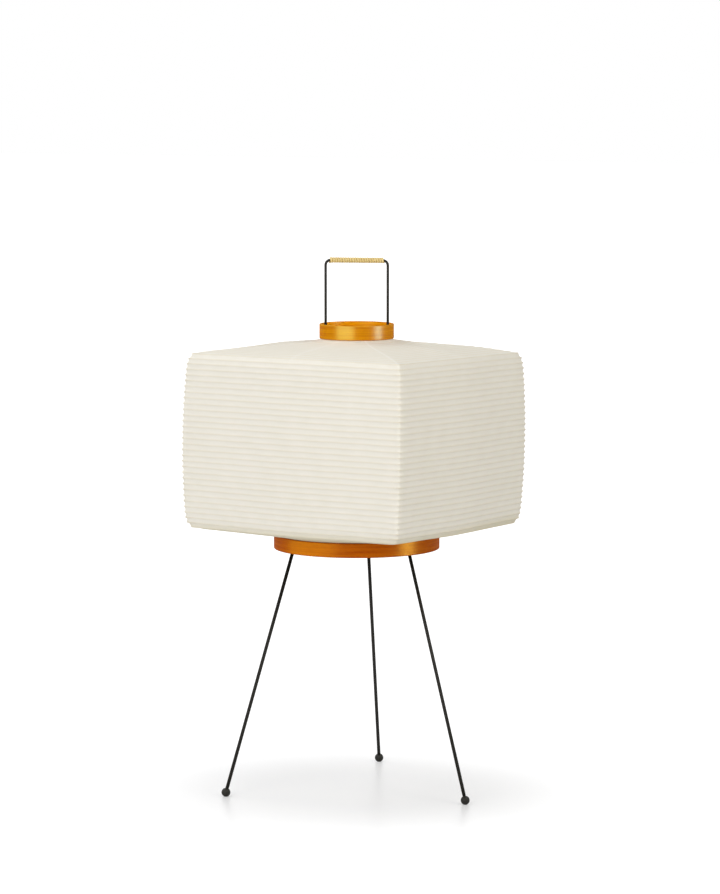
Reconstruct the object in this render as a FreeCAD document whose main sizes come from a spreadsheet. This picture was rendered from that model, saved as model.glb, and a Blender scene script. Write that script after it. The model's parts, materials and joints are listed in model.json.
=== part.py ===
import FreeCAD, Part
import Sketcher
import math
import os

# Paper lamp: a square ribbed paper shade between two bent wood rings,
# carried by a wire tripod with ball feet, a wire handle and a bulb holder.
# Millimetres. The origin is on the floor under the lamp's axis, +Z is up.
# +X and +Y point square out of two faces of the shade.

Vector = FreeCAD.Vector
UP = Vector(0, 0, 1)
ACROSS = Vector(0, 1, 0)

DIMENSIONS = [
    # Tripod
    ("frame_turn", 21.5, "turn of the wire frame against the shade, degrees"),
    ("foot_circle", 192.5, "lamp axis to the centre of a foot"),
    ("foot_ball", 6.2, "radius of a ball foot"),
    ("foot_flat", 2.0, "radius of the flat under a foot"),
    ("leg_wire", 4.5, "diameter of a leg rod"),
    ("hoop_wire", 4.0, "diameter of the hoop's rod"),
    ("hoop_radius", 91.0, "lamp axis to the middle of the hoop's rod"),
    ("hoop_level", 346.0, "height of the middle of the hoop's rod"),
    # Wood rings
    ("bottom_ring_radius", 115.0, "outside radius of the lower ring"),
    ("bottom_ring_wall", 3.0, "thickness of the lower ring"),
    ("bottom_ring_height", 20.0, "height of the lower ring"),
    ("bottom_ring_level", 338.0, "floor to the underside of the lower ring"),
    ("top_ring_wall", 3.0, "thickness of the upper ring"),
    ("top_ring_height", 20.0, "height of the upper ring"),
    ("top_ring_level", 629.5, "floor to the underside of the upper ring"),
    ("ring_ease", 0.6, "broken edge on the rings"),
    # Paper shade
    ("shade_half", 174.9, "lamp axis to a face beside its corner, at half height"),
    ("shade_bulge", 5.0, "how far a face bows out at its middle"),
    ("shade_barrel", 3.6, "how far the walls are drawn in where a shoulder starts"),
    ("shade_shoulder", 5.8, "how far a shoulder draws the walls in further"),
    ("shoulder_height", 12.0, "height of a shoulder"),
    ("shade_corner", 7.0, "radius of the shade's upright corners"),
    ("wall_low", 369.5, "floor to the lower edge of the walls"),
    ("wall_high", 609.0, "floor to the upper edge of the walls"),
    ("face_angle", 40.0, "half angle of a ring that one face runs to, degrees"),
    ("paper", 0.6, "thickness of the pasted paper"),
    ("rib", 1.0, "width and height of a split rib"),
    ("rib_count", 32, "ribs on the walls"),
    ("roof_rib_count", 13, "ribs on the upper slope"),
    ("floor_rib_count", 6, "ribs on the lower slope"),
    ("slope_rib_gap", 0.35, "room between a sloping rib and the paper"),
    # Handle
    ("handle_half", 43.5, "lamp axis to an upright of the handle"),
    ("handle_wire", 3.2, "diameter of the handle's rod"),
    ("handle_bend", 7.0, "radius of the handle's corners"),
    ("handle_tail", 2.0, "rod showing below its lower nut"),
    ("grip_level", 737.0, "floor to the middle of the grip"),
    ("grip_length", 76.0, "length of the wound grip"),
    ("grip_radius", 3.0, "radius of the wound grip"),
    # Brackets between the hoop and the lower ring
    ("bracket_width", 10.0, "width of a bracket"),
    ("bracket_strip", 1.2, "thickness of a bracket"),
    ("bracket_tab", 9.0, "height of a bracket's upright tab"),
    ("bracket_lap", 6.0, "how far a bracket reaches in past the hoop's middle"),
    ("screw_shank", 1.2, "radius of a bracket screw"),
    ("screw_head", 2.5, "radius of its head"),
    ("screw_head_height", 1.6, "height of its head"),
    ("screw_bite", 2.0, "depth of its hole in the ring"),
    # Sliding clips of the upper ring
    ("clip_width", 16.0, "width of a clip"),
    ("clip_height", 12.0, "height of a clip"),
    ("clip_back", 3.0, "clip behind the handle's rod"),
    ("clip_front", 3.4, "clip between the handle's rod and the upper ring"),
    ("tack_radius", 0.8, "radius of a clip tack"),
    ("tack_head", 1.6, "radius of its head"),
    ("tack_head_height", 0.8, "height of its head"),
    ("tack_offset", 5.2, "middle of the clip to a tack"),
    ("tack_bite", 1.8, "depth of its hole in the ring"),
    # Bridge and threaded tube
    ("bridge_width", 14.0, "width of the bridge strap"),
    ("bridge_strip", 2.0, "thickness of the bridge strap"),
    ("rod_nut_width", 5.5, "flats of a handle nut"),
    ("rod_nut_height", 2.0, "height of a handle nut"),
    ("tube_radius", 5.0, "radius of the threaded tube"),
    ("tube_bore", 4.2, "radius of its bore"),
    ("tube_drop", 10.0, "threaded tube below the bridge"),
    ("tube_rise", 5.0, "threaded tube above the bridge"),
    ("washer_radius", 9.0, "radius of the washer under the bridge"),
    ("washer_height", 1.0, "thickness of the washer"),
    ("lock_nut_width", 14.0, "flats of the lock nut"),
    ("lock_nut_height", 3.0, "height of the lock nut"),
    ("bush_bore", 3.3, "radius of the cord's way through the bush"),
    ("bush_flange", 6.5, "radius of the bush's flange"),
    ("bush_flange_height", 2.0, "thickness of the bush's flange"),
    ("bush_sleeve", 6.0, "bush inside the threaded tube"),
    # Bulb holder
    ("holder_radius", 20.0, "outside radius of the holder"),
    ("holder_wall", 2.4, "wall of the holder"),
    ("holder_floor", 3.0, "floor of the holder's cup"),
    ("holder_cup_height", 14.0, "height of the holder's cup"),
    ("holder_bevel", 2.0, "bevel round the cup's underside"),
    ("holder_sleeve_height", 40.0, "height of the holder's sleeve"),
    ("core_hollow", 5.0, "room for the wires under the core"),
    ("core_rim", 2.4, "width of the core's skirt"),
    ("core_plate", 12.0, "thickness of the core above that room"),
    ("terminal_radius", 1.25, "radius of a terminal screw"),
    ("terminal_head", 2.25, "radius of its head"),
    ("terminal_head_height", 1.8, "height of its head"),
    ("terminal_depth", 6.0, "terminal screw inside the core"),
    ("terminal_offset", 9.5, "lamp axis to a terminal screw"),
    ("thread_wall", 0.5, "wall of the screw shell"),
    ("thread_height", 24.0, "height of the screw shell"),
    ("contact_radius", 5.0, "radius of the centre contact"),
    ("contact_plate", 0.8, "thickness of the centre contact's plate"),
    ("contact_rise", 3.2, "height of the centre contact"),
    # Bulb
    ("bulb_radius", 30.0, "radius of the glass"),
    ("bulb_taper", 23.5, "half angle of the glass's neck, degrees"),
    ("bulb_wall", 0.8, "thickness of the glass"),
    ("bulb_cap_radius", 13.1, "radius of the bulb's screw cap"),
    ("bulb_cap_wall", 0.5, "wall of the bulb's screw cap"),
    ("bulb_cap_height", 24.0, "height of the bulb's screw cap"),
    ("bulb_collar", 4.0, "height of the insulating collar"),
    ("bulb_tip", 4.5, "radius of the bulb's tip contact"),
    ("bulb_tip_height", 1.2, "height of the bulb's tip contact"),
    # Clearances
    ("fit_gap", 0.05, "room between pieces that are joined"),
    ("slide_gap", 0.3, "room between pieces that move"),
]

LEGS = {"rear": 90, "left": 210, "right": 330}
BRACKETS = {"right": 30, "left": 150, "front": 270}
SIDES = {"left": -1, "right": 1}

doc = FreeCAD.newDocument("paper_lamp")
dims = doc.addObject("Spreadsheet::Sheet", "dims")
for row, (alias, size, meaning) in enumerate(DIMENSIONS, start=1):
    dims.set("A%d" % row, meaning)
    dims.set("B%d" % row, str(size))
    dims.setAlias("B%d" % row, alias)
doc.recompute()

pieces = []


# Values and places
def value(expression):
    """The number that an expression on the sheet gives."""
    number = dims.evalExpression(str(expression))
    return float(getattr(number, "Value", number))


def polar(radius, angle, level):
    """A point by its distance from the lamp axis, its angle on the frame and its height."""
    turn = math.radians(angle + value("dims.frame_turn"))
    return Vector(radius * math.cos(turn), radius * math.sin(turn), level)


def facing(angle):
    """The turn that brings +X to an angle on the wire frame."""
    return FreeCAD.Rotation(UP, angle + value("dims.frame_turn"))


def outward(radius, angle, level):
    """A placement whose +Z points away from the lamp axis."""
    lay_down = FreeCAD.Rotation(ACROSS, 90)
    return FreeCAD.Placement(polar(radius, angle, level), facing(angle).multiply(lay_down))


def upright(level, radius=0.0, angle=0.0):
    """A placement that stands at a height, turned with the wire frame."""
    return FreeCAD.Placement(polar(radius, angle, level), facing(angle))


# Building blocks
def keep(thing, label):
    """Names a finished piece of the lamp."""
    thing.Label = label
    pieces.append(thing)
    return thing


def bind(thing, sizes):
    """Ties the sizes of an object to the sheet."""
    for name, expression in sizes.items():
        thing.setExpression(name, str(expression))
    return thing


def rod(name, radius, height, placement):
    """A round bar along the placement's Z."""
    thing = doc.addObject("Part::Cylinder", name)
    thing.Placement = placement
    return bind(thing, {"Radius": radius, "Height": height})


def hexagon(name, flats, height, placement):
    """A six-sided bar, given across its flats."""
    thing = doc.addObject("Part::Prism", name)
    thing.Polygon = 6
    thing.Placement = placement
    return bind(thing, {"Circumradius": "%s / 2 / cos(30deg)" % flats, "Height": height})


def block(name, length, width, height, placement):
    """A block that starts at its placement, runs along X and is centred in Y."""
    thing = doc.addObject("Part::Box", name)
    bind(thing, {"Length": length, "Width": width, "Height": height})
    half_back = placement.Rotation.multVec(Vector(0, -value(width) / 2, 0))
    thing.Placement = FreeCAD.Placement(placement.Base.add(half_back), placement.Rotation)
    return thing


def group(name, things):
    """Several solids as one object."""
    thing = doc.addObject("Part::Compound", name)
    thing.Links = things
    return thing


def cut(name, base, tools):
    """A solid less its cutting tools."""
    thing = doc.addObject("Part::Cut", name)
    thing.Base = base
    thing.Tool = tools[0] if len(tools) == 1 else group(name + "_tools", tools)
    return thing


def fuse(name, first, second):
    """Two solids as one."""
    thing = doc.addObject("Part::Fuse", name)
    thing.Base = first
    thing.Tool = second
    return thing


def origin_plane(body, role):
    """One of a body's own origin planes."""
    return next(plane for plane in body.Origin.OriginFeatures if plane.Role == role)


NEARLY_ZERO = 1e-9


def new_sketch(body, name, role):
    """An empty sketch on one of a body's origin planes."""
    sketch = body.newObject("Sketcher::SketchObject", name)
    sketch.AttachmentSupport = [(origin_plane(body, role), "")]
    sketch.MapMode = "FlatFace"
    return sketch


def fix(sketch, kind, first, expression):
    """A driving distance from the sketch's origin to the start of an edge."""
    size = value(expression)
    if abs(size) < NEARLY_ZERO:
        axis = -2 if kind == "DistanceX" else -1
        sketch.addConstraint(Sketcher.Constraint("PointOnObject", first, 1, axis))
        return
    index = sketch.addConstraint(Sketcher.Constraint(kind, -1, 1, first, 1, size))
    sketch.setExpression("Constraints[%d]" % index, str(expression))


def lathe(name, outline, level):
    """A turned piece: its half outline, as radius and height, spun about the lamp axis."""
    body = doc.addObject("PartDesign::Body", name + "_turning")
    sketch = new_sketch(body, name + "_outline", "XZ_Plane")
    points = [Vector(value(radius), value(height), 0) for radius, height in outline]
    count = len(points)
    for index in range(count):
        sketch.addGeometry(Part.LineSegment(points[index], points[(index + 1) % count]))
    for index in range(count):
        sketch.addConstraint(Sketcher.Constraint("Coincident", index, 2, (index + 1) % count, 1))
    for index, (radius, height) in enumerate(outline):
        fix(sketch, "DistanceX", index, radius)
        fix(sketch, "DistanceY", index, height)
    spin = body.newObject("PartDesign::Revolution", name + "_spin")
    spin.Profile = sketch
    spin.ReferenceAxis = (sketch, ["V_Axis"])
    spin.Angle = 360
    body.Placement = FreeCAD.Placement(Vector(0, 0, value(level)), FreeCAD.Rotation())
    return body


def tube_outline(outside, inside, height):
    """The half outline of a plain tube."""
    return [(inside, "0"), (outside, "0"), (outside, height), (inside, height)]


def headed_screw(name, sizes, placement):
    """A screw with a flat round head below the placement and its shank above it."""
    shank, head, head_height, length = sizes
    drop = placement.Rotation.multVec(Vector(0, 0, -value(head_height)))
    under = FreeCAD.Placement(placement.Base.add(drop), placement.Rotation)
    head_bar = rod(name + "_head", head, head_height, under)
    shank_bar = rod(name + "_shank", shank, length, placement)
    return fuse(name, head_bar, shank_bar)


# Levels that several pieces share
BRIDGE_UNDER = "(dims.hoop_level + dims.hoop_wire / 2)"
BRIDGE_TOP = "(%s + dims.bridge_strip)" % BRIDGE_UNDER
CUP_FLOOR = "(%s + dims.holder_floor)" % BRIDGE_TOP
CORE_TOP = "(%s + dims.core_hollow + dims.core_plate)" % CUP_FLOOR
BULB_FOOT = "(%s + dims.contact_rise + dims.slide_gap)" % CORE_TOP
BULB_CAP_FOOT = "(%s + dims.bulb_tip_height + dims.bulb_collar)" % BULB_FOOT
BULB_CAP_TOP = "(%s + dims.bulb_cap_height)" % BULB_CAP_FOOT
BOTTOM_RING_TOP = "(dims.bottom_ring_level + dims.bottom_ring_height)"
BOTTOM_RING_INSIDE = "(dims.bottom_ring_radius - dims.bottom_ring_wall)"
TOP_RING_INSIDE = "(dims.handle_half + dims.handle_wire / 2 + dims.clip_front)"
BOTTOM_NECK = "(%s + dims.bottom_ring_wall / 2)" % BOTTOM_RING_INSIDE
TOP_NECK = "(%s + dims.top_ring_wall / 2)" % TOP_RING_INSIDE
ROD_HOLE = "dims.handle_wire / 2 + dims.fit_gap"


# Feet and legs
def make_tripod():
    """Three coped legs on a hoop, each in a ball foot."""
    hoop = doc.addObject("Part::Torus", "hoop")
    bind(hoop, {"Radius1": "dims.hoop_radius", "Radius2": "dims.hoop_wire / 2"})
    hoop.Placement.Base = Vector(0, 0, value("dims.hoop_level"))
    keep(hoop, "base_hoop")
    foot_level = value("sqrt(dims.foot_ball^2 - dims.foot_flat^2)")
    for side, angle in LEGS.items():
        foot = polar(value("dims.foot_circle"), angle, foot_level)
        head = polar(value("dims.hoop_radius"), angle, value("dims.hoop_level"))
        run = head.sub(foot)
        along = FreeCAD.Placement(foot, FreeCAD.Rotation(UP, run))
        straight = rod(side + "_leg_rod", "dims.leg_wire / 2", run.Length, along)
        cope = doc.addObject("Part::Torus", side + "_leg_cope")
        bind(cope, {"Radius1": "dims.hoop_radius", "Radius2": "dims.hoop_wire / 2 + dims.fit_gap"})
        cope.Placement = hoop.Placement
        keep(cut(side + "_leg", straight, [cope]), "leg_" + side)
        ball = doc.addObject("Part::Sphere", side + "_ball")
        bind(ball, {"Radius": "dims.foot_ball"})
        ball.Placement.Base = foot
        seat = rod(side + "_seat", "dims.leg_wire / 2 + dims.fit_gap", "2 * dims.foot_ball", along)
        below = FreeCAD.Placement(Vector(foot.x, foot.y, -value("dims.foot_ball")), FreeCAD.Rotation())
        floor = rod(side + "_floor", "2 * dims.foot_ball", "dims.foot_ball", below)
        keep(cut(side + "_foot", ball, [seat, floor]), "foot_" + side)


# Wood rings
def ring_outline(part, inside):
    """The half outline of a flat bent ring with broken edges."""
    outside = "(%s + dims.%s_wall)" % (inside, part)
    height = "dims.%s_height" % part
    ease = "dims.ring_ease"
    return [
        ("%s + %s" % (inside, ease), "0"),
        ("%s - %s" % (outside, ease), "0"),
        (outside, ease),
        (outside, "%s - %s" % (height, ease)),
        ("%s - %s" % (outside, ease), height),
        ("%s + %s" % (inside, ease), height),
        (inside, "%s - %s" % (height, ease)),
        (inside, ease),
    ]


def make_bottom_ring():
    """The lower ring, its three brackets on the hoop and their screws."""
    width = "dims.bracket_width"
    tab_face = "(sqrt(%s^2 - (%s / 2)^2) - dims.fit_gap)" % (BOTTOM_RING_INSIDE, width)
    tab_back = "(%s - dims.bracket_strip)" % tab_face
    inner_end = "(dims.hoop_radius - dims.bracket_lap)"
    screw_level = value("%s + dims.bracket_strip + (dims.bracket_tab - dims.bracket_strip) / 2"
                        % BRIDGE_UNDER)
    hole_length = "%s - %s + dims.screw_bite" % (BOTTOM_RING_INSIDE, tab_back)
    screw_sizes = ("dims.screw_shank", "dims.screw_head", "dims.screw_head_height", hole_length)
    pilots = []
    screws = []
    for side, angle in BRACKETS.items():
        lap = upright(value(BRIDGE_UNDER), value(inner_end), angle)
        flat = block(side + "_bracket_flat", "%s - %s" % (tab_face, inner_end), width,
                     "dims.bracket_strip", lap)
        stand = upright(value(BRIDGE_UNDER), value(tab_back), angle)
        tab = block(side + "_bracket_tab", "dims.bracket_strip", width, "dims.bracket_tab", stand)
        drive = outward(value(tab_back), angle, screw_level)
        hole = rod(side + "_bracket_hole", "dims.screw_shank + dims.fit_gap", hole_length, drive)
        bracket = fuse(side + "_bracket_bend", flat, tab)
        keep(cut(side + "_bracket", bracket, [hole]), "ring_bracket_" + side)
        screws.append(headed_screw(side + "_bracket_screw", screw_sizes, drive))
        pilots.append(rod(side + "_pilot", "dims.screw_shank + dims.fit_gap", hole_length, drive))
    ring = lathe("bottom_ring", ring_outline("bottom_ring", BOTTOM_RING_INSIDE), "dims.bottom_ring_level")
    keep(cut("bottom_ring_drilled", ring, pilots), "bottom_ring")
    keep(group("bracket_screw_set", screws), "bracket_screws")


def make_top_ring():
    """The upper ring with the two clips that slide on the handle's uprights."""
    back = "(dims.handle_half - dims.handle_wire / 2 - dims.clip_back)"
    hole_length = "%s - %s + dims.tack_bite" % (TOP_RING_INSIDE, back)
    tack_sizes = ("dims.tack_radius", "dims.tack_head", "dims.tack_head_height", hole_length)
    clip_level = value("dims.top_ring_level + (dims.top_ring_height - dims.clip_height) / 2")
    tack_level = clip_level + value("dims.clip_height / 2")
    pilots = []
    tacks = []
    for side, sign in SIDES.items():
        angle = 0 if sign > 0 else 180
        start = upright(clip_level, value(back), angle)
        raw = block(side + "_clip_raw", TOP_RING_INSIDE, "dims.clip_width", "dims.clip_height", start)
        seat = rod(side + "_clip_seat", "%s - dims.fit_gap" % TOP_RING_INSIDE,
                   "dims.clip_height", upright(clip_level))
        fitted = doc.addObject("Part::Common", side + "_clip_fitted")
        fitted.Base = raw
        fitted.Tool = seat
        run = upright(clip_level, value("dims.handle_half"), angle)
        tools = [rod(side + "_clip_run", "dims.handle_wire / 2 + dims.slide_gap",
                     "dims.clip_height", run)]
        for place in (-1, 1):
            name = "%s_tack_%s" % (side, "a" if place < 0 else "b")
            drive = outward(value(back), angle, tack_level)
            shift = facing(angle).multVec(Vector(0, place * value("dims.tack_offset"), 0))
            drive.Base = drive.Base.add(shift)
            tools.append(rod(name + "_hole", "dims.tack_radius + dims.fit_gap", hole_length, drive))
            pilots.append(rod(name + "_pilot", "dims.tack_radius + dims.fit_gap", hole_length, drive))
            tacks.append(headed_screw(name, tack_sizes, drive))
        keep(cut(side + "_clip", fitted, tools), "slide_clip_" + side)
    ring = lathe("top_ring", ring_outline("top_ring", TOP_RING_INSIDE), "dims.top_ring_level")
    keep(cut("top_ring_drilled", ring, pilots), "top_ring")
    keep(group("clip_tack_set", tacks), "clip_tacks")


# Paper shade
def skin(edge, reach, face, level):
    """The paper's outline at one level: four bowed faces joined by round corners.

    A face runs from (edge, -reach) to (edge, reach) through (face, 0).
    The corner arc takes up what the two faces leave of a quarter turn."""
    end_turn = 2 * math.atan((face - edge) / reach)
    corner_turn = math.pi / 2 - 2 * end_turn
    hip = (edge + reach) / 2 + (edge - reach) / 2 * math.tan(corner_turn / 4)
    arcs = []
    for quarter in range(4):
        turn = FreeCAD.Rotation(UP, 90 * quarter)
        start, middle, end, corner, following = [
            turn.multVec(Vector(x, y, level))
            for x, y in ((edge, -reach), (face, 0), (edge, reach), (hip, hip), (reach, edge))
        ]
        arcs.append(Part.Arc(start, middle, end).toShape())
        arcs.append(Part.Arc(end, corner, following).toShape())
    return Part.Wire(arcs)


def wall_sizes(inset, drawn):
    """Outline sizes of the wall, inset from its outside, where it is drawn in."""
    edge = value("dims.shade_half") - inset - drawn
    reach = value("dims.shade_half - dims.shade_corner") - drawn
    return edge, reach, edge + value("dims.shade_bulge")


def neck_sizes(radius):
    """Outline sizes of a round neck, split where the shade's corners run to it."""
    angle = math.radians(value("dims.face_angle"))
    return radius * math.cos(angle), radius * math.sin(angle), radius


def between(first, second, share):
    """Sizes part of the way from one outline to another."""
    return [a + (b - a) * share for a, b in zip(first, second)]


def wall_drawn(level):
    """How far the wall is drawn in at a height: barrel to the shoulder, then the shoulder."""
    half_height = value("(dims.wall_high - dims.wall_low) / 2")
    off_middle = abs(level - value("(dims.wall_high + dims.wall_low) / 2"))
    into_shoulder = off_middle - half_height + value("dims.shoulder_height")
    if into_shoulder > 0:
        share = into_shoulder / value("dims.shoulder_height")
        return value("dims.shade_barrel") + value("dims.shade_shoulder") * share
    return value("dims.shade_barrel") * off_middle / (half_height - value("dims.shoulder_height"))


def shade_loft(inset):
    """The space inside the paper's outside face, or inside an inset of it."""
    low = value("dims.wall_low")
    high = value("dims.wall_high")
    shoulder = value("dims.shoulder_height")
    bottom = value(BOTTOM_RING_TOP)
    top = value("dims.top_ring_level")
    bottom_neck = neck_sizes(value(BOTTOM_NECK) - inset)
    top_neck = neck_sizes(value(TOP_NECK) - inset)
    brim = wall_sizes(inset, wall_drawn(high - inset))
    levels = [
        skin(*bottom_neck, bottom + inset),
        skin(*brim, low + inset),
    ]
    for level in (low + shoulder, (low + high) / 2, high - shoulder):
        levels.append(skin(*wall_sizes(inset, wall_drawn(level)), level))
    levels += [
        skin(*brim, high - inset),
        skin(*top_neck, top - inset),
    ]
    if inset:
        levels.insert(0, skin(*bottom_neck, bottom - inset))
        levels.append(skin(*top_neck, top + inset))
    return Part.makeLoft(levels, True, True)


def face_space(quarter, low, high):
    """The space that one face of the shade takes up between two levels, out past its corners."""
    past = value("2 * (dims.shade_half + dims.shade_bulge)")
    corners = [Vector(0, 0, low), Vector(past, -past, low), Vector(past, past, low)]
    wedge = Part.Face(Part.makePolygon(corners + corners[:1])).extrude(UP * (high - low))
    return wedge.rotate(Vector(), UP, 90 * quarter)


def hoop_strip(outer, level):
    """One flat split-rib hoop that stands on a level, given by its outer outline."""
    rib = value("dims.rib")
    inner = [size - rib for size in outer]
    outlines = [skin(*outer, level), skin(*inner, level)]
    face = Part.makeFace(outlines, "Part::FaceMakerBullseye")
    return face.extrude(UP * rib)


def make_shade():
    """The pasted paper sheets and the split ribs inside them."""
    paper = value("dims.paper")
    rib = value("dims.rib")
    low = value("dims.wall_low")
    high = value("dims.wall_high")
    whole = shade_loft(0.0).cut(shade_loft(paper))
    seams = [value(BOTTOM_RING_TOP), low + paper, (low + high) / 2, high - paper,
             value("dims.top_ring_level")]
    sheets = []
    for quarter in range(4):
        for band in zip(seams, seams[1:]):
            sheets += whole.common(face_space(quarter, *band)).Solids
    skin_piece = doc.addObject("Part::Feature", "shade_sheets")
    skin_piece.Shape = Part.Compound(sheets)
    keep(skin_piece, "shade_paper")

    inset = paper + value("dims.fit_gap")
    first = low + inset + value("dims.slope_rib_gap")
    last = high - inset - value("dims.slope_rib_gap") - rib
    count = int(value("dims.rib_count"))
    hoops = []
    for index in range(count):
        level = first + (last - first) * index / (count - 1)
        drawn = max(wall_drawn(level), wall_drawn(level + rib))
        hoops.append(hoop_strip(wall_sizes(inset, drawn), level))

    below_paper = paper + value("dims.slope_rib_gap")
    slopes = [
        (low, value(BOTTOM_RING_TOP), BOTTOM_NECK, "dims.floor_rib_count", below_paper),
        (high, value("dims.top_ring_level"), TOP_NECK, "dims.roof_rib_count", -below_paper - rib),
    ]
    brim = wall_sizes(inset, wall_drawn(high))
    for wall_level, neck_level, neck, count_name, lift in slopes:
        neck_outline = neck_sizes(value(neck) - inset)
        slope_count = int(value(count_name))
        for index in range(slope_count):
            share = (index + 1) / (slope_count + 1)
            level = wall_level + (neck_level - wall_level) * share + lift
            hoops.append(hoop_strip(between(brim, neck_outline, share), level))
    ribs = doc.addObject("Part::Feature", "shade_hoops")
    ribs.Shape = Part.Compound(hoops)
    keep(ribs, "shade_ribs")


# Handle
def make_handle():
    """The bent rod, its wound grip and the nuts that hold it on the bridge."""
    foot = "(%s - dims.rod_nut_height - dims.handle_tail)" % BRIDGE_UNDER
    rise = "dims.grip_level - %s" % foot
    half = value("dims.handle_half")
    bend = value("dims.handle_bend")
    height = value(rise)

    body = doc.addObject("PartDesign::Body", "handle_bar")
    spine = new_sketch(body, "handle_spine", "XZ_Plane")
    shoulder = height - bend
    left_bend = Part.Circle(Vector(-half + bend, shoulder, 0), UP, bend)
    right_bend = Part.Circle(Vector(half - bend, shoulder, 0), UP, bend)
    spine.addGeometry([
        Part.LineSegment(Vector(-half, 0, 0), Vector(-half, shoulder, 0)),
        Part.ArcOfCircle(left_bend, math.pi / 2, math.pi),
        Part.LineSegment(Vector(-half + bend, height, 0), Vector(half - bend, height, 0)),
        Part.ArcOfCircle(right_bend, 0, math.pi / 2),
        Part.LineSegment(Vector(half, shoulder, 0), Vector(half, 0, 0)),
    ])
    for first, second in (((0, 2), (1, 2)), ((1, 1), (2, 1)), ((2, 2), (3, 2)), ((3, 1), (4, 1))):
        spine.addConstraint(Sketcher.Constraint("Tangent", *first, *second))
    spine.addConstraint(Sketcher.Constraint("Vertical", 0))
    spine.addConstraint(Sketcher.Constraint("Horizontal", 2))
    spine.addConstraint(Sketcher.Constraint("Vertical", 4))
    spine.addConstraint(Sketcher.Constraint("PointOnObject", 0, 1, -1))
    spine.addConstraint(Sketcher.Constraint("PointOnObject", 4, 2, -1))
    spine.addConstraint(Sketcher.Constraint("Equal", 1, 3))
    drives = [
        (Sketcher.Constraint("DistanceX", 0, 1, -1, 1, half), "dims.handle_half"),
        (Sketcher.Constraint("DistanceX", -1, 1, 4, 2, half), "dims.handle_half"),
        (Sketcher.Constraint("DistanceY", -1, 1, 2, 1, height), rise),
        (Sketcher.Constraint("Radius", 1, bend), "dims.handle_bend"),
    ]
    for constraint, expression in drives:
        index = spine.addConstraint(constraint)
        spine.setExpression("Constraints[%d]" % index, expression)

    section = new_sketch(body, "handle_section", "XY_Plane")
    section.addGeometry(Part.Circle(Vector(-half, 0, 0), UP, value("dims.handle_wire / 2")))
    section.addConstraint(Sketcher.Constraint("PointOnObject", 0, 3, -1))
    for constraint, expression in (
        (Sketcher.Constraint("DistanceX", 0, 3, -1, 1, half), "dims.handle_half"),
        (Sketcher.Constraint("Radius", 0, value("dims.handle_wire / 2")), "dims.handle_wire / 2"),
    ):
        index = section.addConstraint(constraint)
        section.setExpression("Constraints[%d]" % index, expression)
    pipe = body.newObject("PartDesign::AdditivePipe", "handle_pipe")
    pipe.Profile = section
    pipe.Spine = (spine, ["Edge%d" % (edge + 1) for edge in range(5)])
    body.Placement = upright(value(foot))
    keep(body, "handle_rod")

    grip_end = outward(-value("dims.grip_length / 2"), 0, value("dims.grip_level"))
    winding = rod("grip_winding", "dims.grip_radius", "dims.grip_length", grip_end)
    way = rod("grip_way", ROD_HOLE, "dims.grip_length", grip_end)
    keep(cut("grip", winding, [way]), "grip_wrap")

    nuts = []
    for side, sign in SIDES.items():
        for place, level in (("under", BRIDGE_UNDER + " - dims.rod_nut_height"), ("over", BRIDGE_TOP)):
            name = "%s_%s_nut" % (side, place)
            stand = upright(value(level), value("dims.handle_half"), 0 if sign > 0 else 180)
            blank = hexagon(name + "_blank", "dims.rod_nut_width", "dims.rod_nut_height", stand)
            hole = rod(name + "_hole", ROD_HOLE, "dims.rod_nut_height", stand)
            nuts.append(cut(name, blank, [hole]))
    keep(group("handle_nut_set", nuts), "handle_nuts")


# Bridge and threaded tube
def make_bridge():
    """The strap across the hoop, and the threaded tube that the cord comes up through."""
    reach = "(dims.hoop_radius + dims.hoop_wire / 2)"
    end = FreeCAD.Placement(polar(value(reach), 180, value(BRIDGE_UNDER)), facing(0))
    strap = block("strap", "2 * %s" % reach, "dims.bridge_width", "dims.bridge_strip", end)
    holes = [rod("strap_tube_hole", "dims.tube_radius + dims.fit_gap", "dims.bridge_strip",
                 upright(value(BRIDGE_UNDER)))]
    for side, sign in SIDES.items():
        stand = upright(value(BRIDGE_UNDER), value("dims.handle_half"), 0 if sign > 0 else 180)
        holes.append(rod(side + "_strap_hole", ROD_HOLE, "dims.bridge_strip", stand))
    keep(cut("bridge", strap, holes), "socket_bridge")

    tube_foot = "(%s - dims.tube_drop)" % BRIDGE_UNDER
    tube_length = "dims.tube_drop + dims.bridge_strip + dims.tube_rise"
    keep(lathe("tube", tube_outline("dims.tube_radius", "dims.tube_bore", tube_length), tube_foot),
         "threaded_tube")
    washer_level = "%s - dims.washer_height" % BRIDGE_UNDER
    hole = "dims.tube_radius + dims.fit_gap"
    keep(lathe("washer", tube_outline("dims.washer_radius", hole, "dims.washer_height"), washer_level),
         "tube_washer")
    nut_stand = upright(value("%s - dims.washer_height - dims.lock_nut_height" % BRIDGE_UNDER))
    nut_blank = hexagon("lock_nut_blank", "dims.lock_nut_width", "dims.lock_nut_height", nut_stand)
    nut_hole = rod("lock_nut_hole", hole, "dims.lock_nut_height", nut_stand)
    keep(cut("lock_nut", nut_blank, [nut_hole]), "tube_lock_nut")

    sleeve = "(dims.tube_bore - dims.fit_gap)"
    top = "(dims.bush_flange_height + dims.bush_sleeve)"
    bush = [
        ("dims.bush_bore", "0"),
        ("dims.bush_flange", "0"),
        ("dims.bush_flange", "dims.bush_flange_height"),
        (sleeve, "dims.bush_flange_height"),
        (sleeve, top),
        ("dims.bush_bore", top),
    ]
    keep(lathe("bush", bush, "%s - dims.bush_flange_height" % tube_foot), "cord_bush")


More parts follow.
